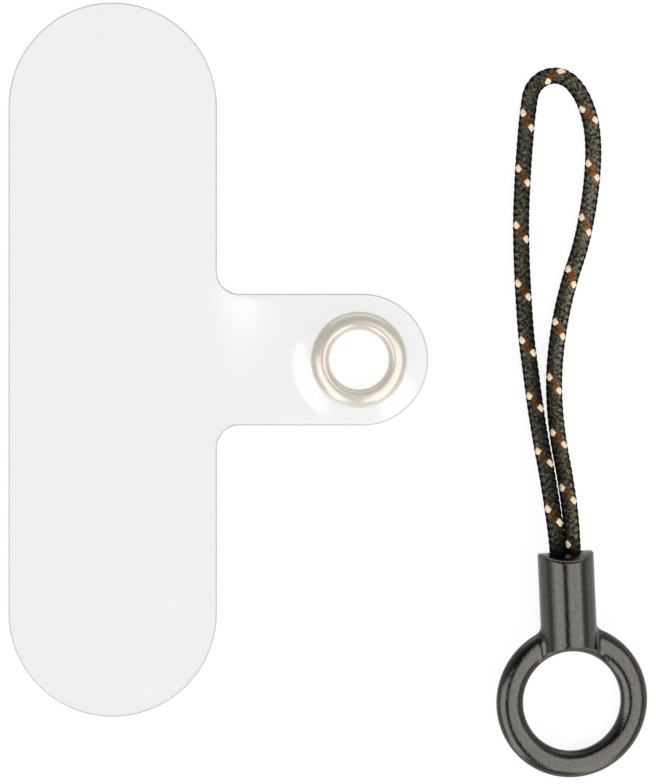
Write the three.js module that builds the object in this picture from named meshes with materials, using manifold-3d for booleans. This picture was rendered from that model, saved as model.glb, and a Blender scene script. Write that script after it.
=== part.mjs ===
// Phone ring strap, in its two halves, lying side by side on a flat surface.
// The left half is a T-shaped tether tab of clear film with a rolled eyelet in its arm. The body
// of the T sits inside a phone case and the arm comes out through the case's charging port.
// The right half is a loop of round braided cord. Its two ends are fixed in a ferrule, cast in one
// piece with a ring. The loop hitches through the eyelet, and the ring takes a longer strap's clip.
//
// Millimetres, with +Z up and +Y along the tab. The surface is z = 0, and the origin lies on it
// under the middle of the box round the tab and the ring end.

import * as THREE from 'three';
import { mergeVertices } from 'three/addons/utils/BufferGeometryUtils.js';
import Module from 'manifold-3d';

// Tether tab
const TAB_LENGTH = 60;
const TAB_WIDTH = 17.5;
const FILM = 0.6;
const ARM_REACH = 17.74; // from the edge of the body to the tip of the arm
const ARM_WIDTH = 11.06;
const ARM_FILLET = 1.9;
const LIFT_RUN = 7; // stretch of the arm in which the film climbs to the eyelet

// Eyelet
const EYELET_HOLE = 5;
const EYELET_WALL = 0.3;
const EYELET_FRONT = 8.06; // diameter of the domed front flange
const EYELET_BACK = 7.4; // diameter of the rolled back
const EYELET_FRONT_RISE = 0.8;
const EYELET_BACK_RISE = 0.7;
const EYELET_FROM_TIP = 5.8; // from the centre of the hole to the tip of the arm
const GRIP_GAP = 0.05; // film to each face of the eyelet
const BARREL_GAP = 0.3; // barrel to the hole in the film
const FLAT_MARGIN = 0.3; // flat film beyond the front flange

// Ring end
const RING_HOLE = 8.36;
const RING_BAND = 2.28;
const RING_THICKNESS = 1.56;
const FERRULE_DIAMETER = 4.7;
const FERRULE_REACH = 12.6; // from the ring's centre to the mouth
const FERRULE_RIM = 0.4; // rounding of the rim at the mouth
const FERRULE_FOOT = 4.75; // radius about the ring's centre at which the ferrule ends
const WEB_FILLET = 0.6; // between the ferrule's sides and the ring
const WEB_THICKNESS = 1;
const LIP_WIDTH = 2.7; // scoop across the front and back of the mouth
const LIP_DEPTH = 0.75;
const SOCKET_DEPTH = 5;
const SOCKET_GAP = 0.15; // cord to the socket's walls

// Cord
const CORD_DIAMETER = 1.3;
const CORD_SPACING = 1.36; // between the two cord centres in the socket

// Lay of the two halves on the surface
const RING_TO_TAB = 5.68; // clear way from the arm's tip to the ring
const RING_BELOW_TAB = 5.05; // how far the ring lies beyond the tab's lower end
const RING_LEAN = THREE.MathUtils.degToRad(2.7); // the mouth leans to the left
const RING_ROLL = THREE.MathUtils.degToRad(10); // the right of the ring is lower than the left
const STEEPEST_REST = THREE.MathUtils.degToRad(45); // most that the mouth may be raised
const REST_HALVINGS = 30;

// Facets
const FULL_TURN_FACETS = 48;
const OUTLINE_FACETS = 24;
const SECTION_FACETS = 16;
const ROUNDING_FACETS = 5;
const LIFT_FACETS = 10;
const CORD_SIDES = 8;
const CORD_STEPS = 76;
const CUT_PAST = 1; // how far a cutter runs past the surface that it cuts

const wasm = await Module();
wasm.setup();

function solidOf(geometry) {
  geometry.deleteAttribute('normal');
  geometry.deleteAttribute('uv');
  const merged = mergeVertices(geometry);
  const mesh = new wasm.Mesh({
    numProp: 3,
    vertProperties: Float32Array.from(merged.attributes.position.array),
    triVerts: Uint32Array.from(merged.index.array),
  });
  return new wasm.Manifold(mesh);
}

function geometryOf(solid) {
  const mesh = solid.getMesh();
  const geometry = new THREE.BufferGeometry();
  geometry.setAttribute('position', new THREE.BufferAttribute(mesh.vertProperties, 3));
  geometry.setIndex(new THREE.BufferAttribute(mesh.triVerts, 1));
  geometry.computeVertexNormals();
  return geometry;
}

// Points on an arc, both ends included, with the angles in degrees
function arc(x, y, radius, from, to, facets) {
  const points = [];
  for (let i = 0; i <= facets; i += 1) {
    const angle = THREE.MathUtils.degToRad(from + (to - from) * i / facets);
    points.push(new THREE.Vector2(x + radius * Math.cos(angle), y + radius * Math.sin(angle)));
  }
  return points;
}

// A solid turned about Z from an outline of (radius, height) points
function turned(outline, facets) {
  const geometry = new THREE.LatheGeometry([...outline, outline[0]], facets);
  geometry.rotateX(Math.PI / 2);
  return geometry;
}

// A flat outline made thick along Z, between two heights
function thick(outline, bottom, top) {
  const shape = new THREE.Shape(outline);
  const geometry = new THREE.ExtrudeGeometry(shape, { depth: top - bottom, bevelEnabled: false });
  geometry.translate(0, 0, bottom);
  return geometry;
}

function circle(radius, facets) {
  return arc(0, 0, radius, 0, 360, facets).slice(0, facets);
}

// Tether tab, with its middle at the middle of the body and the arm along +X
const bodyHalf = TAB_WIDTH / 2;
const armHalf = ARM_WIDTH / 2;
const armTip = bodyHalf + ARM_REACH;
const eyeletX = armTip - EYELET_FROM_TIP;
const filmLift = EYELET_BACK_RISE + GRIP_GAP;
const liftEnd = eyeletX - EYELET_FRONT / 2 - FLAT_MARGIN;
const liftStart = liftEnd - LIFT_RUN;

function tabOutline() {
  const endY = TAB_LENGTH / 2 - bodyHalf;
  const rootX = bodyHalf + ARM_FILLET;
  const rootY = armHalf + ARM_FILLET;
  return [
    ...arc(0, endY, bodyHalf, 180, 0, OUTLINE_FACETS),
    ...arc(rootX, rootY, ARM_FILLET, 180, 270, ROUNDING_FACETS),
    ...arc(armTip - armHalf, 0, armHalf, 90, -90, OUTLINE_FACETS),
    ...arc(rootX, -rootY, ARM_FILLET, 90, 180, ROUNDING_FACETS),
    ...arc(0, -endY, bodyHalf, 0, -180, OUTLINE_FACETS),
  ];
}

// The film seen from its lower end: flat under the body, then a smooth climb along the arm
function filmProfile() {
  const under = [new THREE.Vector2(-bodyHalf - CUT_PAST, 0)];
  for (let i = 0; i <= LIFT_FACETS; i += 1) {
    const along = i / LIFT_FACETS;
    const height = filmLift * along * along * (3 - 2 * along);
    under.push(new THREE.Vector2(liftStart + LIFT_RUN * along, height));
  }
  under.push(new THREE.Vector2(armTip + CUT_PAST, filmLift));
  const over = under.map((point) => new THREE.Vector2(point.x, point.y + FILM));
  return [...under, ...over.reverse()];
}

function tetherTab() {
  const highest = filmLift + FILM + CUT_PAST;
  const plan = solidOf(thick(tabOutline(), -CUT_PAST, highest));
  const reach = TAB_LENGTH / 2 + CUT_PAST;
  const film = thick(filmProfile(), -reach, reach);
  film.rotateX(Math.PI / 2);
  const holeRadius = EYELET_HOLE / 2 + EYELET_WALL + BARREL_GAP;
  const hole = thick(circle(holeRadius, FULL_TURN_FACETS), -CUT_PAST, highest);
  hole.translate(eyeletX, 0, 0);
  return geometryOf(plan.intersect(solidOf(film)).subtract(solidOf(hole)));
}

// Eyelet: a domed front flange, a barrel, and the barrel's end rolled out over the back
function eyelet() {
  const inner = EYELET_HOLE / 2;
  const barrel = inner + EYELET_WALL;
  const filmUnder = filmLift - GRIP_GAP;
  const filmOver = filmLift + FILM + GRIP_GAP;
  const frontWide = EYELET_FRONT / 2 - inner;
  const backWide = EYELET_BACK / 2 - inner;
  const outline = [];
  for (let i = 0; i <= SECTION_FACETS / 2; i += 1) {
    const angle = 2 * Math.PI * i / SECTION_FACETS;
    const across = inner + frontWide * (1 + Math.cos(angle)) / 2;
    outline.push(new THREE.Vector2(across, filmOver + EYELET_FRONT_RISE * Math.sin(angle)));
  }
  for (let i = 0; i <= SECTION_FACETS / 2; i += 1) {
    const angle = 2 * Math.PI * i / SECTION_FACETS;
    const across = inner + backWide * (1 - Math.cos(angle)) / 2;
    outline.push(new THREE.Vector2(across, filmUnder - EYELET_BACK_RISE * Math.sin(angle)));
  }
  outline.push(new THREE.Vector2(barrel, filmUnder));
  outline.push(new THREE.Vector2(barrel, filmOver));
  return turned(outline, FULL_TURN_FACETS);
}

// Ring end, with the ring about Z and the ferrule along +Y. It lies on the ring's edge and on the
// foot of the ferrule, rolled a little about the ferrule, so the mouth is raised.
const ringMiddle = (RING_HOLE + RING_BAND) / 2;
const ferruleRadius = FERRULE_DIAMETER / 2;

// How far the ring reaches from its centre in one direction, when it is turned
function ringReach(turn, direction) {
  const along = new THREE.Vector3(0, 0, 1).applyEuler(turn).dot(direction);
  const across = Math.sqrt(1 - along ** 2);
  return ringMiddle * across + Math.hypot(RING_BAND / 2 * across, RING_THICKNESS / 2 * along);
}

// The turn at which the ring's lowest edge is level with the foot of the ferrule, found by halving
function ringRest() {
  const down = new THREE.Vector3(0, 0, -1);
  const turn = new THREE.Euler(0, RING_ROLL, RING_LEAN, 'ZXY');
  let level = 0;
  let steep = STEEPEST_REST;
  for (let i = 0; i < REST_HALVINGS; i += 1) {
    turn.x = (level + steep) / 2;
    const foot = ferruleRadius * Math.cos(turn.x) - FERRULE_FOOT * Math.sin(turn.x);
    if (foot > ringReach(turn, down)) {
      level = turn.x;
    } else {
      steep = turn.x;
    }
  }
  return turn;
}

function ringSection() {
  return circle(1, SECTION_FACETS).map((point) => new THREE.Vector2(
    ringMiddle + point.x * RING_BAND / 2,
    point.y * RING_THICKNESS / 2,
  ));
}

function ferruleBarrel() {
  const rimRadius = ferruleRadius - FERRULE_RIM;
  const profile = [
    new THREE.Vector2(0, 0),
    new THREE.Vector2(ferruleRadius, 0),
    ...arc(rimRadius, FERRULE_REACH - FERRULE_RIM, FERRULE_RIM, 0, 90, ROUNDING_FACETS),
    new THREE.Vector2(0, FERRULE_REACH),
  ];
  return new THREE.LatheGeometry(profile, FULL_TURN_FACETS);
}

// Small fillets in the plane of the ring, where the ferrule's sides run into it
function webOutline() {
  const filletX = ferruleRadius + WEB_FILLET;
  const filletY = Math.sqrt((ringMiddle + RING_BAND / 2 + WEB_FILLET) ** 2 - filletX ** 2);
  const touch = THREE.MathUtils.radToDeg(Math.atan2(filletY, filletX));
  return [
    new THREE.Vector2(0, ringMiddle),
    ...arc(filletX, filletY, WEB_FILLET, 180 + touch, 180, ROUNDING_FACETS),
    ...arc(-filletX, filletY, WEB_FILLET, 0, -touch, ROUNDING_FACETS),
  ];
}

function cordSocket() {
  const endRadius = CORD_DIAMETER / 2 + SOCKET_GAP;
  const outline = [
    ...arc(CORD_SPACING / 2, 0, endRadius, -90, 90, OUTLINE_FACETS / 2),
    ...arc(-CORD_SPACING / 2, 0, endRadius, 90, 270, OUTLINE_FACETS / 2),
  ];
  const bottom = FERRULE_REACH - SOCKET_DEPTH;
  const socket = thick(outline, -FERRULE_REACH - CUT_PAST, -bottom);
  socket.rotateX(Math.PI / 2);
  return socket;
}

function ringEnd() {
  const ring = solidOf(turned(ringSection(), FULL_TURN_FACETS));
  const foot = circle(FERRULE_FOOT, FULL_TURN_FACETS);
  const footCut = solidOf(thick(foot, -FERRULE_DIAMETER, FERRULE_DIAMETER));
  const ferrule = solidOf(ferruleBarrel()).subtract(footCut);
  const web = solidOf(thick(webOutline(), -WEB_THICKNESS / 2, WEB_THICKNESS / 2));
  const lipRadius = (LIP_WIDTH ** 2 / 4 + LIP_DEPTH ** 2) / (2 * LIP_DEPTH);
  const lip = thick(circle(lipRadius, OUTLINE_FACETS), -FERRULE_DIAMETER, FERRULE_DIAMETER);
  lip.translate(0, FERRULE_REACH - LIP_DEPTH + lipRadius, 0);
  const whole = ring.add(ferrule).add(web);
  return geometryOf(whole.subtract(solidOf(lip)).subtract(solidOf(cordSocket())));
}

// Route of the cord's centre, as (right, up, height): right and up in plan from the ring's centre,
// and height above the surface. It leaves the bottom of the socket, comes straight out of the
// mouth, sinks to the surface, runs round the end of the loop and comes back beside itself.
const CORD_ROUTE = [
  [-1.05, 7.8, 2.77],
  [-1.18, 10.3, 3.03],
  [-1.31, 12.8, 3.27],
  [-1.48, 14.64, 3.37],
  [-1.74, 16.64, 3.15],
  [-2.11, 19.04, 2.52],
  [-2.56, 21.64, 1.7],
  [-2.98, 24.34, 1.07],
  [-3.36, 27.24, 0.76],
  [-3.76, 30.44, 0.66],
  [-4.01, 33.84, 0.66],
  [-4.17, 37.24, 0.66],
  [-4.21, 40.44, 0.66],
  [-4.08, 43.84, 0.66],
  [-3.88, 46.84, 0.66],
  [-3.64, 49.34, 0.66],
  [-3.28, 51.24, 0.66],
  [-2.48, 52.14, 0.66],
  [-1.4, 52.46, 0.66],
  [-0.32, 52.14, 0.66],
  [0.54, 51.26, 0.66],
  [1.24, 49.89, 0.66],
  [1.7, 48.14, 0.66],
  [1.85, 46.04, 0.66],
  [1.7, 43.44, 0.66],
  [1.34, 40.84, 0.66],
  [0.74, 38.04, 0.66],
  [-0.08, 35.44, 0.66],
  [-0.78, 32.64, 0.66],
  [-1.23, 29.84, 0.66],
  [-1.44, 27.04, 0.74],
  [-1.38, 24.44, 0.98],
  [-1.08, 21.64, 1.55],
  [-0.64, 19.04, 2.3],
  [-0.3, 16.64, 2.92],
  [-0.08, 14.64, 3.13],
  [0.06, 12.8, 3.03],
  [0.18, 10.3, 2.79],
  [0.31, 7.8, 2.53],
];

function cordTube() {
  const points = CORD_ROUTE.map(([right, up, height]) => new THREE.Vector3(right, up, height));
  const route = new THREE.CatmullRomCurve3(points, false, 'centripetal');
  const halfSide = 180 / CORD_SIDES;
  const section = arc(0, 0, CORD_DIAMETER / 2, halfSide, 360 + halfSide, CORD_SIDES).slice(0, CORD_SIDES);
  return new THREE.ExtrudeGeometry(new THREE.Shape(section), {
    steps: CORD_STEPS,
    bevelEnabled: false,
    extrudePath: route,
  });
}

// The lay of the pieces, from the box round the tab and the ring end
const ringTurn = ringRest();
const ringSide = ringReach(ringTurn, new THREE.Vector3(1, 0, 0));
const ringBack = ringReach(ringTurn, new THREE.Vector3(0, -1, 0));
const boxWidth = TAB_WIDTH + ARM_REACH + RING_TO_TAB + 2 * ringSide;
const boxLength = TAB_LENGTH + RING_BELOW_TAB;
const tabPlace = new THREE.Vector3(bodyHalf - boxWidth / 2, boxLength / 2 - TAB_LENGTH / 2, 0);
const ringPlace = new THREE.Vector3(boxWidth / 2 - ringSide, ringBack - boxLength / 2, 0);
const ringHeight = ringReach(ringTurn, new THREE.Vector3(0, 0, -1));

function piece(name, geometry, look) {
  const mesh = new THREE.Mesh(geometry, new THREE.MeshStandardMaterial(look));
  mesh.name = name;
  return mesh;
}

const clearFilm = { color: 0xf0f0ef, roughness: 0.15, metalness: 0, transparent: true, opacity: 0.4 };
const nickel = { color: 0xd6d2c9, roughness: 0.22, metalness: 1 };
const blackNickel = { color: 0x6b6a65, roughness: 0.38, metalness: 0.6 };
const braid = { color: 0x302f2b, roughness: 0.8, metalness: 0 };

const tab = piece('tether_tab', tetherTab(), clearFilm);
tab.position.copy(tabPlace);

const eyeletPiece = piece('eyelet', eyelet(), nickel);
eyeletPiece.position.copy(tabPlace).add(new THREE.Vector3(eyeletX, 0, 0));

const ringEndPiece = piece('ring_end', ringEnd(), blackNickel);
ringEndPiece.position.set(ringPlace.x, ringPlace.y, ringHeight);
ringEndPiece.rotation.copy(ringTurn);

const cordPiece = piece('cord_loop', cordTube(), braid);
cordPiece.position.copy(ringPlace);

const strap = new THREE.Group();
strap.add(tab, eyeletPiece, ringEndPiece, cordPiece);

export default strap;
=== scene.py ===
import math

import bpy
import numpy as np
from mathutils import Euler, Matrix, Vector
from mathutils.geometry import delaunay_2d_cdt


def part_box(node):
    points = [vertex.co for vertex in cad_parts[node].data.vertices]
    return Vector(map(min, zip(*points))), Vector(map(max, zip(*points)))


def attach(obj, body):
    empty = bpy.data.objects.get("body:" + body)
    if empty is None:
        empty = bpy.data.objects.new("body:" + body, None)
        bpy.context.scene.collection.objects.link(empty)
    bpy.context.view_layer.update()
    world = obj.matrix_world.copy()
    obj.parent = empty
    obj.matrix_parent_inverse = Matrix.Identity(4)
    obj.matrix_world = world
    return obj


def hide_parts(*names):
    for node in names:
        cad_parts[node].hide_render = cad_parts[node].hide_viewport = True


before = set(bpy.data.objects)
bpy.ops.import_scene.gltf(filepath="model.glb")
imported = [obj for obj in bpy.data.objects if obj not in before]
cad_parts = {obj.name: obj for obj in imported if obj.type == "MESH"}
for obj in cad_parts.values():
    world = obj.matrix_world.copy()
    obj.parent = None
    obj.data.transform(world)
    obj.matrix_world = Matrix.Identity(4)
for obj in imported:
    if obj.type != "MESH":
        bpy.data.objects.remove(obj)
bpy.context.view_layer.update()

# Camera. It hangs straight above the two halves of the strap, which lie side by side on a white
# table, with the tab's long side up the picture.
MM = 0.001
PICTURE = (656, 784)
PICTURE_SCALE = 0.0841  # mm of table that one pixel covers
ORIGIN_AT = (327.35, 389.27)  # the frame's origin, in pixels from the first one's middle
CAMERA_HEIGHT = 500  # mm above the table

camera_data = bpy.data.cameras.new("camera")
camera_data.lens = camera_data.sensor_width * CAMERA_HEIGHT / (PICTURE[1] * PICTURE_SCALE)
camera_data.clip_start = 10 * MM
camera = bpy.data.objects.new("camera", camera_data)
camera.location = (
    ((PICTURE[0] - 1) / 2 - ORIGIN_AT[0]) * PICTURE_SCALE * MM,
    (ORIGIN_AT[1] - (PICTURE[1] - 1) / 2) * PICTURE_SCALE * MM,
    CAMERA_HEIGHT * MM,
)
bpy.context.collection.objects.link(camera)
bpy.context.scene.camera = camera

# Ring end. A zinc casting, plated black nickel and left satin from the tumbling barrel: a ring of
# oval section with a tubular ferrule across its edge. It lies on the ring's low side and on the
# ferrule's foot, so the mouth of the ferrule is raised.
RING_HOLE = 8.36
RING_BAND = 2.28
RING_THICKNESS = 1.56
FERRULE_RADIUS = 2.35
FERRULE_REACH = 12.6  # from the ring's centre to the mouth
FERRULE_FOOT = 4.75  # radius about the ring's centre at which the ferrule ends
MOUTH_RIM = 0.2
MOUTH_DROP = 0.6  # how far the mouth's upper and lower edges stand back
SOCKET_RADIUS = 0.77
SOCKET_SPACING = 1.36
SOCKET_DEPTH = 5
CAST_FILLET = 0.55  # where the ferrule runs into the ring
WORN_EDGE = 0.12  # tumbled edges of the foot and the socket
RING_CELL = 0.085  # size of the mesh's faces
SKIN_PASSES = 6  # moves that bring each point of the mesh onto the surface
SKIN_NUDGE = 0.01  # share of a cell over which the surface's slope is taken
LEAST_SLOPE = 0.05  # squared, so that no point is thrown far where the slope is slight
RING_TURN = Euler((math.radians(5.767), math.radians(10), math.radians(2.7)), "YXZ")


def linear(colour):
    """An sRGB hex colour as linear red, green, blue and alpha."""
    parts = [int(colour[i:i + 2], 16) / 255 for i in (1, 3, 5)]
    return [c / 12.92 if c <= 0.04045 else ((c + 0.055) / 1.055) ** 2.4 for c in parts] + [1]


def add(tree, kind, inputs=None, **settings):
    """A new node, with its settings, and its inputs set to values or joined to other nodes."""
    node = tree.nodes.new(kind)
    for name, value in settings.items():
        setattr(node, name, value)
    for name, value in (inputs or {}).items():
        if isinstance(value, bpy.types.NodeSocket):
            tree.links.new(value, node.inputs[name])
        else:
            node.inputs[name].default_value = value
    return node


def blank_material(name):
    """A material with only its output node, and that output's tree."""
    material = bpy.data.materials.new(name)
    material.use_nodes = True
    material.node_tree.nodes.clear()
    return material, material.node_tree


def new_piece(name, points, faces, materials):
    """A smooth mesh object from points in millimetres."""
    mesh = bpy.data.meshes.new(name)
    mesh.from_pydata((np.asarray(points, dtype=float) * MM).tolist(), [], faces)
    mesh.shade_smooth()
    for material in materials:
        mesh.materials.append(material)
    piece = bpy.data.objects.new(name, mesh)
    bpy.context.collection.objects.link(piece)
    return piece


def blend_least(a, b, radius):
    """The lesser of two distances, rounded where they meet."""
    share = np.clip(0.5 + 0.5 * (b - a) / radius, 0, 1)
    return b + (a - b) * share - radius * share * (1 - share)


def skin_of(distance, low, high, cell):
    """Points and faces of the surface where a distance function is zero, one point to a cell."""
    counts = np.ceil((np.array(high) - low) / cell).astype(int) + 1
    axes = [low[k] + cell * np.arange(counts[k]) for k in range(3)]
    grid = np.stack(np.meshgrid(*axes, indexing="ij"), -1)
    inside = distance(grid) < 0
    corners = sum(
        inside[i:counts[0] - 1 + i, j:counts[1] - 1 + j, k:counts[2] - 1 + k].astype(int)
        for i in (0, 1) for j in (0, 1) for k in (0, 1)
    )
    crossed = (corners > 0) & (corners < 8)
    number = np.full(crossed.shape, -1)
    number[crossed] = np.arange(crossed.sum())
    points = low + cell * (np.argwhere(crossed) + 0.5)
    step = cell * SKIN_NUDGE
    for _ in range(SKIN_PASSES):
        here = distance(points)
        slope = np.stack([
            (distance(points + step * np.eye(3)[k]) - distance(points - step * np.eye(3)[k])) / (2 * step)
            for k in range(3)
        ], -1)
        size = np.maximum((slope ** 2).sum(-1, keepdims=True), LEAST_SLOPE)
        points = points - np.clip(here[:, None] * slope / size, -cell, cell)
    faces = []
    for k in range(3):
        i, j = [(1, 2), (2, 0), (0, 1)][k]
        first = np.take(inside, np.arange(counts[k] - 1), k)
        second = np.take(inside, np.arange(1, counts[k]), k)
        for way in (1, -1):
            starts = np.argwhere((first & ~second) if way == 1 else (~first & second))
            corner = []
            for di, dj in [(-1, -1), (0, -1), (0, 0), (-1, 0)][::way]:
                cells = starts.copy()
                cells[:, i] += di
                cells[:, j] += dj
                corner.append(number[tuple(cells.T)])
            faces.append(np.stack(corner, -1))
    return points, np.concatenate(faces).tolist()


def ring_end_distance(points):
    """Distance to the casting's surface, from points about the ring's centre, ferrule along +Y."""
    x, y, z = points[..., 0], points[..., 1], points[..., 2]
    plan = np.hypot(x, y)
    across = plan - (RING_HOLE + RING_BAND) / 2
    oval = np.hypot(across / (RING_BAND / 2), z / (RING_THICKNESS / 2)) + 1e-6
    steepness = np.hypot(across / (RING_BAND / 2) ** 2, z / (RING_THICKNESS / 2) ** 2) + 1e-6
    ring = oval * (oval - 1) / steepness
    out = np.hypot(x, z) - FERRULE_RADIUS + MOUTH_RIM
    past = y - FERRULE_REACH + MOUTH_RIM + MOUTH_DROP * (z / FERRULE_RADIUS) ** 2
    ferrule = np.hypot(np.maximum(out, 0), np.maximum(past, 0))
    ferrule = ferrule + np.minimum(np.maximum(out, past), 0) - MOUTH_RIM
    ferrule = np.maximum(ferrule, -y)
    ferrule = -blend_least(-ferrule, plan - FERRULE_FOOT, WORN_EDGE)
    whole = blend_least(ring, ferrule, CAST_FILLET)
    socket = np.hypot(np.maximum(abs(x) - SOCKET_SPACING / 2, 0), z) - SOCKET_RADIUS
    socket = np.maximum(socket, FERRULE_REACH - SOCKET_DEPTH - y)
    return -blend_least(-whole, socket, WORN_EDGE)


def ring_reach(direction):
    """How far the turned ring reaches from its centre in one direction."""
    axis = Vector((0, 0, 1))
    axis.rotate(RING_TURN)
    along = axis.dot(Vector(direction))
    across = math.sqrt(1 - along ** 2)
    section = math.hypot(RING_BAND / 2 * across, RING_THICKNESS / 2 * along)
    return (RING_HOLE + RING_BAND) / 2 * across + section


ring_low, ring_high = (np.array(corner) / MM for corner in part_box("ring_end"))
ring_centre = np.array([
    ring_high[0] - ring_reach((1, 0, 0)),
    ring_low[1] + ring_reach((0, -1, 0)),
    ring_low[2] + ring_reach((0, 0, -1)),
])

# Black nickel over a zinc casting, dark and mirror-like but for the fine grain that the tumbling
# stones leave, which breaks up the edges of each reflection. The real grain is about 0.05 mm, too
# fine to show, so it is drawn three times as coarse.
STONE_GRAIN = 0.15
black_nickel, tree = blank_material("tumbled_black_nickel")
place = add(tree, "ShaderNodeTexCoord").outputs["Object"]
grain = add(tree, "ShaderNodeTexNoise", {"Vector": place, "Scale": 1 / (STONE_GRAIN * MM), "Detail": 3})
colour = add(tree, "ShaderNodeValToRGB", {"Fac": grain.outputs["Fac"]})
colour.color_ramp.elements[0].position = 0.35
colour.color_ramp.elements[0].color = linear("#53514d")
colour.color_ramp.elements[1].position = 0.65
colour.color_ramp.elements[1].color = linear("#62605d")
satin = add(tree, "ShaderNodeMapRange", {"Value": grain.outputs["Fac"], "To Min": 0.12, "To Max": 0.22})
relief = add(tree, "ShaderNodeBump", {
    "Height": grain.outputs["Fac"], "Strength": 1, "Distance": 0.012 * MM,
})
metal = add(tree, "ShaderNodeBsdfPrincipled", {
    "Base Color": colour.outputs["Color"],
    "Metallic": 1,
    "Roughness": satin.outputs["Result"],
    "Normal": relief.outputs["Normal"],
})
add(tree, "ShaderNodeOutputMaterial", {"Surface": metal.outputs["BSDF"]})

margin = 3 * RING_CELL
reach = (RING_HOLE / 2 + RING_BAND) + margin
points, faces = skin_of(
    ring_end_distance,
    np.array([-reach, -reach, -FERRULE_RADIUS - margin]),
    np.array([reach, FERRULE_REACH + margin, FERRULE_RADIUS + margin]),
    RING_CELL,
)
points = points @ np.array(RING_TURN.to_matrix()).T + ring_centre
ring_end = new_piece("cast_ring_end", points, faces, [black_nickel])
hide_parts("ring_end")
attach(ring_end, "root")

# Cord. A round braid of sixteen polyester strands, eight each way, two over and two under, black
# but for one pale orange tracer. It is one length, 93 mm along its middle, bent into a loop, with
# both ends glued into the ferrule's socket.
CORD_DIAMETER = 1.3
STRAND_WIDTH = 0.44
TRACER_WIDTH = 0.6
STRAND_THICKNESS = 0.16
STRAND_WAVE = 0.09  # how far a strand rises over and dips under the others
STRAND_SECTION = (  # corners, as shares of a strand's width and thickness
    (0.5, 0), (0.28, 0.5), (-0.28, 0.5), (-0.5, 0), (-0.28, -0.5), (0.28, -0.5),
)
TRACER_EDGE = 0.6  # painted highlight on the tracer's edges, as a share of that on its middle
STRANDS_EACH_WAY = 8
STRAND_STEP = 0.125
CORE_RADIUS = 0.45
CORE_SIDES = 12
CORE_STEP = 3  # strand steps to one of the core's
MOUTH_AT = 4.8  # along the cord from either end
PRESSED = 0.045  # how far each leg is pressed towards the other at the mouth
PRESSED_REACH = 3.5
TINT_WIDTH = 0.55  # half the width round the cord, in radians, that the tracer's dye has stained
SAME_STRETCH = 8  # along the cord, points nearer than this aren't on two legs
# Painted shade and light in the cord's colour:
LEGS_TOGETHER = 1.65  # gap between the legs' middles under which they shade each other fully
LEGS_APART = 7.15  # and the gap over which they don't
LEG_SHADE = 1.3  # fall of light there from a leg's top to its inner side, as a power of e
PAIR_SHADE = 0.2  # and over the whole leg
FLANK_FROM = 0.76  # cosine of the turn round the cord at which the flank starts to darken
FLANK_TO = 0.58  # and at which it is as dark as it gets
FLANK_SHADE = 0.05  # light on the flanks and the core, as a share of that on top
GAP_SHADE = 0.2  # light where a strand dives under the others
MOUTH_SHADE = 0.12  # light at the ferrule's mouth
MOUTH_SHADE_REACH = 1.5
TRACER_DARK = -0.3  # from the mouth, where the tracer inside it is as dark as it gets
TRACER_LIT = 0.2
ROUTE_SAMPLES = 40  # between two points of the route
PAINTED_LIGHT_ALONG = ((10, 0.65), (30, 0.9), (46, 1), (56, 1.8), (68, 1.35), (82, 1))  # along, strength there of a painted light
PILE = 0.035  # how far the fibres stand out beyond the cord's nominal size
PITCH = 4.74  # one turn of a strand, on average
TRACER_FRONT = (  # along the cord, where the tracer crosses the front
    -1.9, 2.9, 7.76, 12.77, 17.65, 22.4, 27.16, 32.04, 36.79, 41.42, 46.24, 51.06, 55.81, 60.4, 64.95,
    69.45, 74.1, 78.84, 83.7, 88.35, 93.1, 97.8,
)
CORD_ROUTE = [  # right and up from the ring's centre, and height above the table
    (-1.05, 7.8, 2.77), (-1.18, 10.3, 3.03), (-1.31, 12.8, 3.27), (-1.48, 14.64, 3.37),
    (-1.74, 16.64, 3.15), (-2.11, 19.04, 2.52), (-2.56, 21.64, 1.7), (-2.98, 24.34, 1.07),
    (-3.36, 27.24, 0.76), (-3.76, 30.44, 0.66), (-4.01, 33.84, 0.66), (-4.17, 37.24, 0.66),
    (-4.21, 40.44, 0.66), (-4.08, 43.84, 0.66), (-3.88, 46.84, 0.66), (-3.64, 49.34, 0.66),
    (-3.28, 51.24, 0.66), (-2.48, 52.14, 0.66), (-1.4, 52.46, 0.66), (-0.32, 52.14, 0.66),
    (0.54, 51.26, 0.66), (1.24, 49.89, 0.66), (1.7, 48.14, 0.66), (1.85, 46.04, 0.66),
    (1.7, 43.44, 0.66), (1.34, 40.84, 0.66), (0.74, 38.04, 0.66), (-0.08, 35.44, 0.66),
    (-0.78, 32.64, 0.66), (-1.23, 29.84, 0.66), (-1.44, 27.04, 0.74), (-1.38, 24.44, 0.98),
    (-1.08, 21.64, 1.55), (-0.64, 19.04, 2.3), (-0.3, 16.64, 2.92), (-0.08, 14.64, 3.13),
    (0.06, 12.8, 3.03), (0.18, 10.3, 2.79), (0.31, 7.8, 2.53),
]


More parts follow.
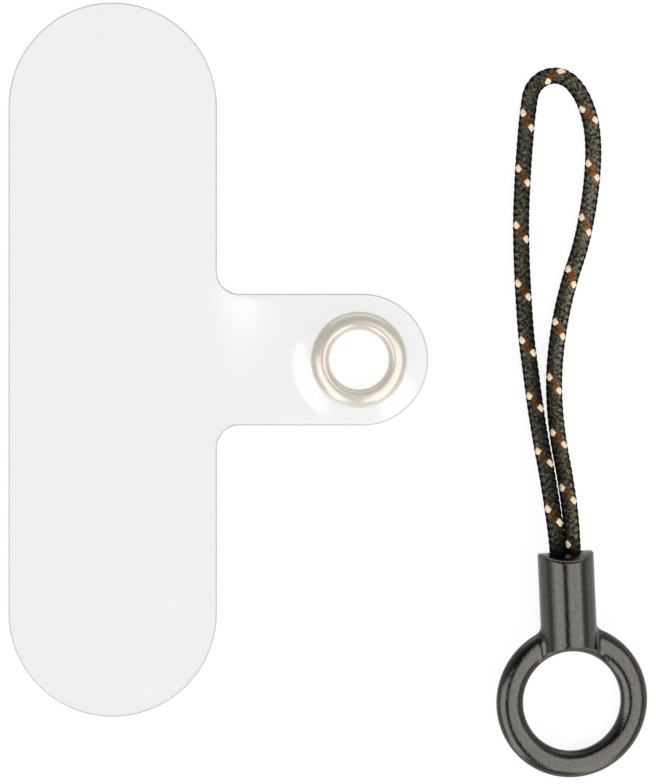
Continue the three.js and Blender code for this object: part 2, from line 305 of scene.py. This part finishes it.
def smooth_route(points, spacing):
    """Points at even spacing on the centripetal curve through the given points."""
    points = np.asarray(points, dtype=float)
    points = np.vstack([2 * points[0] - points[1], points, 2 * points[-1] - points[-2]])
    dense = []
    for p0, p1, p2, p3 in zip(points, points[1:], points[2:], points[3:]):
        steps = [math.sqrt(np.linalg.norm(b - a)) for a, b in ((p0, p1), (p1, p2), (p2, p3))]
        knots = np.cumsum([0] + steps)
        for t in np.linspace(knots[1], knots[2], ROUTE_SAMPLES, endpoint=False):
            level = [p0, p1, p2, p3]  # three rounds of blending bring these four to one
            for first, gap in ((0, 1), (0, 2), (1, 1)):
                level = [
                    a + (b - a) * (t - knots[first + i]) / (knots[first + i + gap] - knots[first + i])
                    for i, (a, b) in enumerate(zip(level, level[1:]))
                ]
            dense.append(level[0])
    dense.append(points[-2])
    dense = np.array(dense)
    along = np.concatenate([[0], np.cumsum(np.linalg.norm(np.diff(dense, axis=0), axis=1))])
    marks = np.linspace(0, along[-1], int(along[-1] / spacing) + 1)
    return marks, np.stack([np.interp(marks, along, dense[:, k]) for k in range(3)], -1)


def eased(low, high, value):
    """0 below the low value and 1 above the high one, with a soft step between."""
    share = np.clip((value - low) / (high - low), 0, 1)
    return share * share * (3 - 2 * share)


def swept(rings):
    """Points and faces of a closed tube through rings of points."""
    steps, sides = rings.shape[:2]
    index = np.arange(steps * sides).reshape(steps, sides)
    around = np.roll(index, -1, axis=1)
    faces = np.stack([index[:-1], around[:-1], around[1:], index[1:]], -1).reshape(-1, 4).tolist()
    return rings.reshape(-1, 3), faces + [index[0][::-1].tolist(), index[-1].tolist()]


route = np.array(CORD_ROUTE) + (ring_centre[0], ring_centre[1], 0)
along, middle = smooth_route(route, STRAND_STEP)
from_mouth = np.minimum(along, along[-1] - along) - MOUTH_AT
leg_side = np.where(along < along[-1] / 2, 1, -1)
middle[:, 0] += PRESSED * leg_side * (1 - eased(0, PRESSED_REACH, from_mouth))
heading = np.gradient(middle, axis=0)
heading /= np.linalg.norm(heading, axis=1, keepdims=True)
upward = np.array([0, 0, 1]) - heading * heading[:, 2:]
upward /= np.linalg.norm(upward, axis=1, keepdims=True)
sideways = np.cross(heading, upward)
turns = np.interp(along, TRACER_FRONT, np.arange(len(TRACER_FRONT)))

apart = np.linalg.norm(middle[:, None] - middle[None], axis=-1)
apart[abs(along[:, None] - along) < SAME_STRETCH] = np.inf
# Painted shade between the legs where they lie close, and at the ferrule's mouth.
closeness = np.clip((LEGS_APART - apart.min(1)) / (LEGS_APART - LEGS_TOGETHER), 0, 1)
daylight = MOUTH_SHADE + (1 - MOUTH_SHADE) * np.clip(from_mouth / MOUTH_SHADE_REACH, 0, 1)
# Painted light along the cord: dimmer low on the left leg, brighter on the right leg.
painted_light_along = np.interp(along, *zip(*PAINTED_LIGHT_ALONG))
strand_middle = CORD_DIAMETER / 2 + PILE - STRAND_THICKNESS / 2 - STRAND_WAVE
braid_points, braid_faces, braid_tracer = [], [], []
braid_tracer_light, braid_shade, braid_tint = [], [], []
for way in (-1, 1):
    for k in range(STRANDS_EACH_WAY):
        offset = 0 if way == -1 else 0.5
        angle = 2 * np.pi * ((k + offset) / STRANDS_EACH_WAY + way * turns)
        crossing = way * np.cos(STRANDS_EACH_WAY / 2 * angle)
        crossing = crossing * (1.5 - 0.5 * crossing ** 2)  # quicker from over to under and back
        radius = strand_middle + STRAND_WAVE * crossing
        outward = upward * np.cos(angle)[:, None] + sideways * np.sin(angle)[:, None]
        round_way = sideways * np.cos(angle)[:, None] - upward * np.sin(angle)[:, None]
        lean = np.arctan(way * 2 * np.pi * radius / PITCH)[:, None]
        flat = round_way * np.cos(lean) - heading * np.sin(lean)
        centre = middle + outward * radius[:, None]
        wide = TRACER_WIDTH if way == -1 and k == 0 else STRAND_WIDTH
        ring_points = np.stack([
            centre + flat * wide * a + outward * STRAND_THICKNESS * b for a, b in STRAND_SECTION
        ], 1)
        points, faces = swept(ring_points)
        start = sum(len(p) for p in braid_points)
        braid_faces += [[start + i for i in face] for face in faces]
        braid_tracer += [int(way == -1 and k == 0)] * len(faces)
        high = 0.5 + 0.5 * crossing
        # Painted shade for the colour: dark on the flanks, on the legs' inner sides, where a strand dives
        # under the others and at the mouth.
        side = eased(FLANK_TO, FLANK_FROM, np.cos(angle))
        side = side * np.exp(-closeness * (LEG_SHADE * np.sin(angle) + PAIR_SHADE))
        side = FLANK_SHADE + (1 - FLANK_SHADE) * side
        shade = (GAP_SHADE + (1 - GAP_SHADE) * high) * side * daylight * painted_light_along
        from_tracer = (angle + 2 * np.pi * turns + np.pi) % (2 * np.pi) - np.pi
        # Painted highlight on the tracer: bright on top, weaker at its edges, gone under the others and
        # inside the mouth.
        shown = high * eased(TRACER_DARK, TRACER_LIT, from_mouth)
        highlight_share = [TRACER_EDGE if b == 0 else 1 for a, b in STRAND_SECTION]
        braid_tracer_light.append(np.outer(shown, highlight_share).ravel())
        braid_shade.append(np.repeat(shade, len(STRAND_SECTION)))
        braid_tint.append(np.repeat(np.exp(-(from_tracer / TINT_WIDTH) ** 2), len(STRAND_SECTION)))
        braid_points.append(points)
core_turn = 2 * np.pi * np.arange(CORE_SIDES) / CORE_SIDES
core_at = np.arange(0, len(middle), CORE_STEP)
core_rings = (
    middle[core_at, None]
    + CORE_RADIUS * upward[core_at, None] * np.cos(core_turn)[None, :, None]
    + CORE_RADIUS * sideways[core_at, None] * np.sin(core_turn)[None, :, None]
)
points, faces = swept(core_rings)
start = sum(len(p) for p in braid_points)
braid_faces += [[start + i for i in face] for face in faces]
braid_tracer += [0] * len(faces)
braid_tracer_light.append(np.zeros(len(points)))
braid_shade.append(np.full(len(points), FLANK_SHADE))
braid_tint.append(np.zeros(len(points)))
braid_points.append(points)

# Black polyester yarn, braided tight: dull, with a slight fuzz of fibre ends. Its colour is scaled
# by the shade attribute, which is painted shade: near black in the gaps between strands, on the
# cord's flanks and core, on the legs' inner sides where they lie close and at the ferrule's mouth,
# with a painted light, dimmer low on the left leg and brighter on the right one. A fibre is 0.02 mm,
# too fine to show, so the fuzz is drawn ten times as coarse. Beside the tracer its orange dye has
# run into the black.
FIBRE_FUZZ = 0.2
polyester, tree = blank_material("braided_black_polyester")
place = add(tree, "ShaderNodeTexCoord").outputs["Object"]
fuzz = add(tree, "ShaderNodeTexNoise", {"Vector": place, "Scale": 1 / (FIBRE_FUZZ * MM), "Detail": 4})
dye = add(tree, "ShaderNodeValToRGB", {"Fac": fuzz.outputs["Fac"]})
dye.color_ramp.elements[0].position = 0.38
dye.color_ramp.elements[0].color = linear("#161511")
dye.color_ramp.elements[1].position = 0.62
dye.color_ramp.elements[1].color = linear("#6d6858")
stain = add(tree, "ShaderNodeAttribute", attribute_name="tint")
stained = add(tree, "ShaderNodeMixRGB", {
    "Fac": stain.outputs["Fac"], "Color1": dye.outputs["Color"], "Color2": linear("#7a430f"),
})
# The cord's painted shade and light, from the shade attribute, scale its colour.
depth = add(tree, "ShaderNodeAttribute", attribute_name="shade")
shade = add(tree, "ShaderNodeVectorMath", {0: stained.outputs["Color"]}, operation="SCALE")
tree.links.new(depth.outputs["Fac"], shade.inputs["Scale"])
relief = add(tree, "ShaderNodeBump", {
    "Height": fuzz.outputs["Fac"], "Strength": 0.5, "Distance": 0.02 * MM,
})
cloth = add(tree, "ShaderNodeBsdfPrincipled", {
    "Base Color": shade.outputs["Vector"],
    "Roughness": 0.85,
    "Specular IOR Level": 0.1,
    "Normal": relief.outputs["Normal"],
})
add(tree, "ShaderNodeOutputMaterial", {"Surface": cloth.outputs["BSDF"]})

# Orange polyester tracer, one strand of the braid, coloured by painted light from its attribute:
# a painted highlight makes it nearly cream where it lies on top, and painted shade turns it deep
# orange at its edges, where it dives under the others and inside the ferrule's mouth.
tracer, tree = blank_material("braided_orange_tracer")
painted_tracer_light = add(tree, "ShaderNodeAttribute", attribute_name="painted_tracer_light")
shade = add(tree, "ShaderNodeValToRGB", {"Fac": painted_tracer_light.outputs["Fac"]})
shade.color_ramp.elements[0].position = 0.5
shade.color_ramp.elements[0].color = linear("#b05a12")
shade.color_ramp.elements[1].position = 0.85
shade.color_ramp.elements[1].color = linear("#ffedcc")
cloth = add(tree, "ShaderNodeBsdfPrincipled", {
    "Base Color": shade.outputs["Color"],
    "Roughness": 0.5,
})
add(tree, "ShaderNodeOutputMaterial", {"Surface": cloth.outputs["BSDF"]})

braid = new_piece("braided_cord_loop", np.vstack(braid_points), braid_faces, [polyester, tracer])
braid.data.polygons.foreach_set("material_index", braid_tracer)
for name, values in (("painted_tracer_light", braid_tracer_light), ("shade", braid_shade), ("tint", braid_tint)):
    braid.data.attributes.new(name, "FLOAT", "POINT").data.foreach_set("value", np.concatenate(values))
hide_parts("cord_loop")
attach(braid, "root")

# Tether tab. Clear TPU film, die cut to a T, so its edges are square and its faces glossy. The arm
# climbs to the eyelet, whose setting has pressed a low dome into the film round it.
TAB_LENGTH = 60
TAB_WIDTH = 17.5
FILM = 0.6
ARM_WIDTH = 11.06
ARM_REACH = 17.74
ARM_FILLET = 1.9
FILM_HOLE = 3.1
FILM_GRID = 0.35  # size of the mesh's faces
FILM_MARGIN = 0.3  # keeps them off the outline
HOLE_MARGIN = 0.2  # and off the hole
CUT_SLACK = 0.02  # lets a face whose middle is at the hole's very edge stay
END_STEPS = 97  # points on a round end
ROOT_STEPS = 17  # points on the fillet at the arm's root
HOLE_STEPS = 73
FILM_LIFT = 0.75  # of the film's underside at the eyelet
DOME = 0.42  # share of the lift that is the dome, where it is deepest
DOME_INNER = 3.7
DOME_OUTER = 6
DOME_SIDES = ((205, 45), (320, 17))  # bearings at which the dome is deepest, and how wide
CLIMB = 8
EDGE_ROUND = 0.12
EDGE_STRIP = 0.05  # keeps the flat of the film flat right up to its edge

tab_low, tab_high = (np.array(corner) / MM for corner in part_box("tether_tab"))
eyelet_low, eyelet_high = (np.array(corner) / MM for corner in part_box("eyelet"))
tab_middle = np.array([tab_low[0] + TAB_WIDTH / 2, (tab_low[1] + tab_high[1]) / 2])
eyelet_middle = (eyelet_low + eyelet_high)[:2] / 2


def arc(centre, radius, start, end, steps):
    """Points on an arc, from one bearing to another in degrees."""
    turn = np.radians(np.linspace(start, end, steps))
    return np.stack([centre[0] + radius * np.cos(turn), centre[1] + radius * np.sin(turn)], -1)


def film_outline(inset):
    """The tab's outline about its middle, moved inwards by an inset."""
    half = TAB_WIDTH / 2
    end = TAB_LENGTH / 2 - half
    root = (half + ARM_FILLET, ARM_WIDTH / 2 + ARM_FILLET)
    tip = half + ARM_REACH - ARM_WIDTH / 2
    return np.vstack([
        arc((0, end), half - inset, 180, 0, END_STEPS),
        arc(root, ARM_FILLET + inset, 180, 270, ROOT_STEPS),
        arc((tip, 0), ARM_WIDTH / 2 - inset, 90, -90, END_STEPS),
        arc((root[0], -root[1]), ARM_FILLET + inset, 90, 180, ROOT_STEPS),
        arc((0, -end), half - inset, 0, -180, END_STEPS),
    ]) + tab_middle


def film_height(points):
    """Height of the film's underside."""
    x, y = (points - eyelet_middle).T
    bearing = np.degrees(np.arctan2(y, x)) % 360
    depth = 0
    for side, width in DOME_SIDES:
        depth = depth + np.exp(-(((bearing - side + 180) % 360 - 180) / width) ** 2)
    dome = DOME * depth * eased(DOME_INNER, DOME_OUTER, np.hypot(x, y))
    return (FILM_LIFT - dome) * eased(-DOME_OUTER - CLIMB, -DOME_OUTER, x)


outline = film_outline(0)
inner = film_outline(EDGE_ROUND)
strip = film_outline(EDGE_ROUND + EDGE_STRIP)
hole = arc(eyelet_middle, FILM_HOLE, 0, 360, HOLE_STEPS)[:-1]
spread = []
for x in np.arange(tab_low[0], tab_high[0], FILM_GRID):
    for y in np.arange(tab_low[1], tab_high[1], FILM_GRID):
        spread.append((x, y))
spread = np.array(spread)
local = abs(spread - tab_middle)
past_end = np.hypot(local[:, 0], np.maximum(local[:, 1] - TAB_LENGTH / 2 + TAB_WIDTH / 2, 0))
in_body = past_end < TAB_WIDTH / 2 - FILM_MARGIN
tip = tab_high[0] - ARM_WIDTH / 2
in_arm = np.hypot(np.maximum(spread[:, 0] - tip, 0), local[:, 1]) < ARM_WIDTH / 2 - FILM_MARGIN
in_arm &= spread[:, 0] > tab_middle[0]
away = np.hypot(spread[:, 0] - eyelet_middle[0], spread[:, 1] - eyelet_middle[1])
spread = spread[(in_body | in_arm) & (away > FILM_HOLE + HOLE_MARGIN)]
flat = np.vstack([inner, hole, strip, spread])
loops = []
for start, loop in ((0, inner), (len(inner), hole), (len(inner) + len(hole), strip)):
    loops += [(start + i, start + (i + 1) % len(loop)) for i in range(len(loop))]
cut = delaunay_2d_cdt([Vector(p) for p in flat], loops, [], 0, 1e-5)
flat = np.array([tuple(p) for p in cut[0]])
triangles = []
for face in cut[2]:
    mean = flat[list(face)].mean(0)
    if np.hypot(*(mean - eyelet_middle)) < FILM_HOLE - CUT_SLACK:
        continue
    near = abs(mean - tab_middle)
    from_body = mean[0] - tab_middle[0] - TAB_WIDTH / 2
    from_root = np.hypot(from_body - ARM_FILLET, near[1] - ARM_WIDTH / 2 - ARM_FILLET)
    body = np.hypot(near[0], max(near[1] - TAB_LENGTH / 2 + TAB_WIDTH / 2, 0)) < TAB_WIDTH / 2
    arm = mean[0] > tab_middle[0] and np.hypot(max(mean[0] - tip, 0), near[1]) < ARM_WIDTH / 2
    root = 0 <= from_body < ARM_FILLET and near[1] < ARM_WIDTH / 2 + ARM_FILLET
    if body or arm or (root and from_root > ARM_FILLET):
        triangles.append(list(face))
base = film_height(flat)
count = len(flat)
under = np.column_stack([flat, base])
over = np.column_stack([flat, base + FILM])
edge_height = film_height(outline)
low_edge = np.column_stack([outline, edge_height + EDGE_ROUND])
high_edge = np.column_stack([outline, edge_height + FILM - EDGE_ROUND])
faces = [face[::-1] for face in triangles] + [[i + count for i in face] for face in triangles]
became = {}  # where each point given to the mesh now is
for i, sources in enumerate(cut[3]):
    for source in sources:
        became[source] = i
n = len(outline)
for i in range(n):
    j = (i + 1) % n
    a, b = became[i], became[j]
    low_a, low_b = 2 * count + i, 2 * count + j
    faces.append([a, low_a, low_b, b])
    faces.append([low_a, low_a + n, low_b + n, low_b])
    faces.append([low_a + n, a + count, b + count, low_b + n])
for i in range(len(hole)):
    a = became[len(inner) + i]
    b = became[len(inner) + (i + 1) % len(hole)]
    faces.append([a, b, b + count, a + count])

# Clear TPU film off a calender roll: glass-clear and a shade greyer than the table under it, with
# broad soft ripples that bend its few reflections.
ROLL_RIPPLE = 5.5
clear_tpu, tree = blank_material("die_cut_clear_tpu")
place = add(tree, "ShaderNodeTexCoord").outputs["Object"]
ripple = add(tree, "ShaderNodeTexNoise", {"Vector": place, "Scale": 1 / (ROLL_RIPPLE * MM), "Detail": 1})
relief = add(tree, "ShaderNodeBump", {
    "Height": ripple.outputs["Fac"], "Strength": 0.3, "Distance": 0.02 * MM,
})
glass = add(tree, "ShaderNodeBsdfPrincipled", {
    "Base Color": linear("#fafafa"),
    "Roughness": 0.14,
    "IOR": 1.5,
    "Transmission Weight": 1,
    "Normal": relief.outputs["Normal"],
})
add(tree, "ShaderNodeOutputMaterial", {"Surface": glass.outputs["BSDF"]})

# The same film where the die has cut it: frosted by the blade, so the edge is a fine grey line.
cut_edge, tree = blank_material("die_cut_tpu_edge")
frost = add(tree, "ShaderNodeBsdfPrincipled", {
    "Base Color": linear("#c6c6c6"),
    "Roughness": 0.5,
    "IOR": 1.5,
    "Transmission Weight": 0.6,
})
add(tree, "ShaderNodeOutputMaterial", {"Surface": frost.outputs["BSDF"]})

points = np.vstack([under, over, low_edge, high_edge])
film = new_piece("clear_film_tab", points, faces, [clear_tpu, cut_edge])
is_edge = [int(i >= 2 * len(triangles)) for i in range(len(faces))]
film.data.polygons.foreach_set("material_index", is_edge)
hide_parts("tether_tab")
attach(film, "root")

# Eyelet. Pressed brass sheet, nickel plated: a barrel with a domed front flange, pushed through the
# film and rolled out over its back.
EYELET_HOLE = 2.5  # radius
FLANGE_RADIUS = 4.03
CROWN_RADIUS = 3.03  # where the flange is highest
BACK_RADIUS = 3.7
SHEET = 0.28
CROWN_HEIGHT = 0.8
BACK_HEIGHT = 0.7
ROLL_STEPS = 25
EYELET_SIDES = 128

film_under = eyelet_low[2] + BACK_HEIGHT
film_over = eyelet_high[2] - CROWN_HEIGHT
profile = []
for turn in np.linspace(0, math.pi, ROLL_STEPS):
    wide = FLANGE_RADIUS - CROWN_RADIUS if turn < math.pi / 2 else CROWN_RADIUS - EYELET_HOLE
    profile.append((CROWN_RADIUS + wide * math.cos(turn), film_over + CROWN_HEIGHT * math.sin(turn)))
for turn in np.linspace(0, math.pi, ROLL_STEPS):
    reach_out = EYELET_HOLE + (BACK_RADIUS - EYELET_HOLE) * (1 - math.cos(turn)) / 2
    profile.append((reach_out, film_under - BACK_HEIGHT * math.sin(turn)))
profile += [(EYELET_HOLE + SHEET, film_under), (EYELET_HOLE + SHEET, film_over)]
profile = np.array(profile)
turn = 2 * np.pi * np.arange(EYELET_SIDES) / EYELET_SIDES
points = np.stack([
    eyelet_middle[0] + profile[None, :, 0] * np.cos(turn)[:, None],
    eyelet_middle[1] + profile[None, :, 0] * np.sin(turn)[:, None],
    np.broadcast_to(profile[None, :, 1], (EYELET_SIDES, len(profile))),
], -1)
index = np.arange(points.shape[0] * points.shape[1]).reshape(points.shape[:2])
beside = np.roll(index, -1, axis=0)
faces = np.stack([index, beside, np.roll(beside, -1, axis=1), np.roll(index, -1, axis=1)], -1)

# Nickel plate over pressed brass, barrel-finished: warm and bright with soft broad reflections,
# hazed here and there by handling.
HANDLING_HAZE = 0.7
nickel, tree = blank_material("pressed_nickel_plate")
place = add(tree, "ShaderNodeTexCoord").outputs["Object"]
haze = add(tree, "ShaderNodeTexNoise", {"Vector": place, "Scale": 1 / (HANDLING_HAZE * MM), "Detail": 2})
polish = add(tree, "ShaderNodeMapRange", {"Value": haze.outputs["Fac"], "To Min": 0.18, "To Max": 0.3})
metal = add(tree, "ShaderNodeBsdfPrincipled", {
    "Base Color": linear("#e6dfd1"),
    "Metallic": 0.32,
    "Roughness": polish.outputs["Result"],
})
add(tree, "ShaderNodeOutputMaterial", {"Surface": metal.outputs["BSDF"]})

eyelet = new_piece("rolled_eyelet", points.reshape(-1, 3), faces.reshape(-1, 4).tolist(), [nickel])
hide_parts("eyelet")
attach(eyelet, "root")

# Table. One matt white board, which the two halves lie on. It reaches far past the picture,
# because the metal reflects it.
TABLE_SIZE = 4000
TABLE_BELOW = 0.01  # keeps the board just clear of the film

# Matt white board, lit through from below so that what lies on it throws no shadow: it glows most
# where it is seen straight or through the film, and less in what the metal reflects.
white_board, tree = blank_material("matt_white_board")
path = add(tree, "ShaderNodeLightPath")
seen = add(tree, "ShaderNodeMath", {
    0: path.outputs["Is Camera Ray"], 1: path.outputs["Is Transmission Ray"],
}, operation="MAXIMUM")
glow = add(tree, "ShaderNodeMapRange", {"Value": seen.outputs["Value"], "To Min": 0.6, "To Max": 0.87})
board = add(tree, "ShaderNodeBsdfPrincipled", {
    "Base Color": linear("#7c7c7c"),
    "Roughness": 0.9,
    "Specular IOR Level": 0.1,
    "Emission Color": linear("#ffffff"),
    "Emission Strength": glow.outputs["Result"],
})
add(tree, "ShaderNodeOutputMaterial", {"Surface": board.outputs["BSDF"]})
half = TABLE_SIZE / 2
corners = [(x, y, -TABLE_BELOW) for x, y in ((-half, -half), (half, -half), (half, half), (-half, half))]
table = new_piece("table", corners, [[0, 1, 2, 3]], [white_board])

# Studio light. Two wide soft panels hang left and right of the camera, with a dark gap between
# them and a dimmer one beyond the left. Two more stand at the near side of the table, and a low
# one at the far side. The room round them is dim at the walls and almost dark overhead.
PANELS = [  # middle, size across and along, turn, brightness
    ((655, -475, 700), (1150, 1550), (0, 0, 3), 1.75),
    ((-555, -580, 700), (720, 1260), (0, 0, -3), 1.85),
    ((-1250, -580, 700), (690, 1260), (0, 0, 0), 0.8),
    ((825, -1250, 350), (650, 700), (90, 0, 0), 1.75),
    ((-825, -1250, 350), (650, 700), (90, 0, 0), 1.75),
    ((0, 1250, 200), (2000, 400), (-90, 0, 0), 1.2),
]
for centre, size, turn, brightness in PANELS:
    lamp = bpy.data.lights.new("panel", "AREA")
    lamp.shape = "RECTANGLE"
    lamp.size, lamp.size_y = size[0] * MM, size[1] * MM
    lamp.energy = brightness * math.pi * lamp.size * lamp.size_y
    panel = bpy.data.objects.new("panel", lamp)
    panel.location = Vector(centre) * MM
    panel.rotation_euler = [math.radians(angle) for angle in turn]
    bpy.context.collection.objects.link(panel)

world = bpy.data.worlds.new("dim_room")
world.use_nodes = True
tree = world.node_tree
tree.nodes.clear()
way = add(tree, "ShaderNodeTexCoord").outputs["Generated"]
steep = add(tree, "ShaderNodeSeparateXYZ", {"Vector": way}).outputs["Z"]
walls = add(tree, "ShaderNodeMapRange", {
    "Value": steep, "From Min": 0.5, "From Max": 0.82, "To Min": 0.35, "To Max": 0.04,
})
room = add(tree, "ShaderNodeBackground", {"Color": (1, 1, 1, 1), "Strength": walls.outputs["Result"]})
add(tree, "ShaderNodeOutputWorld", {"Surface": room.outputs["Background"]})
bpy.context.scene.world = world
bpy.context.scene.view_settings.view_transform = "Standard"
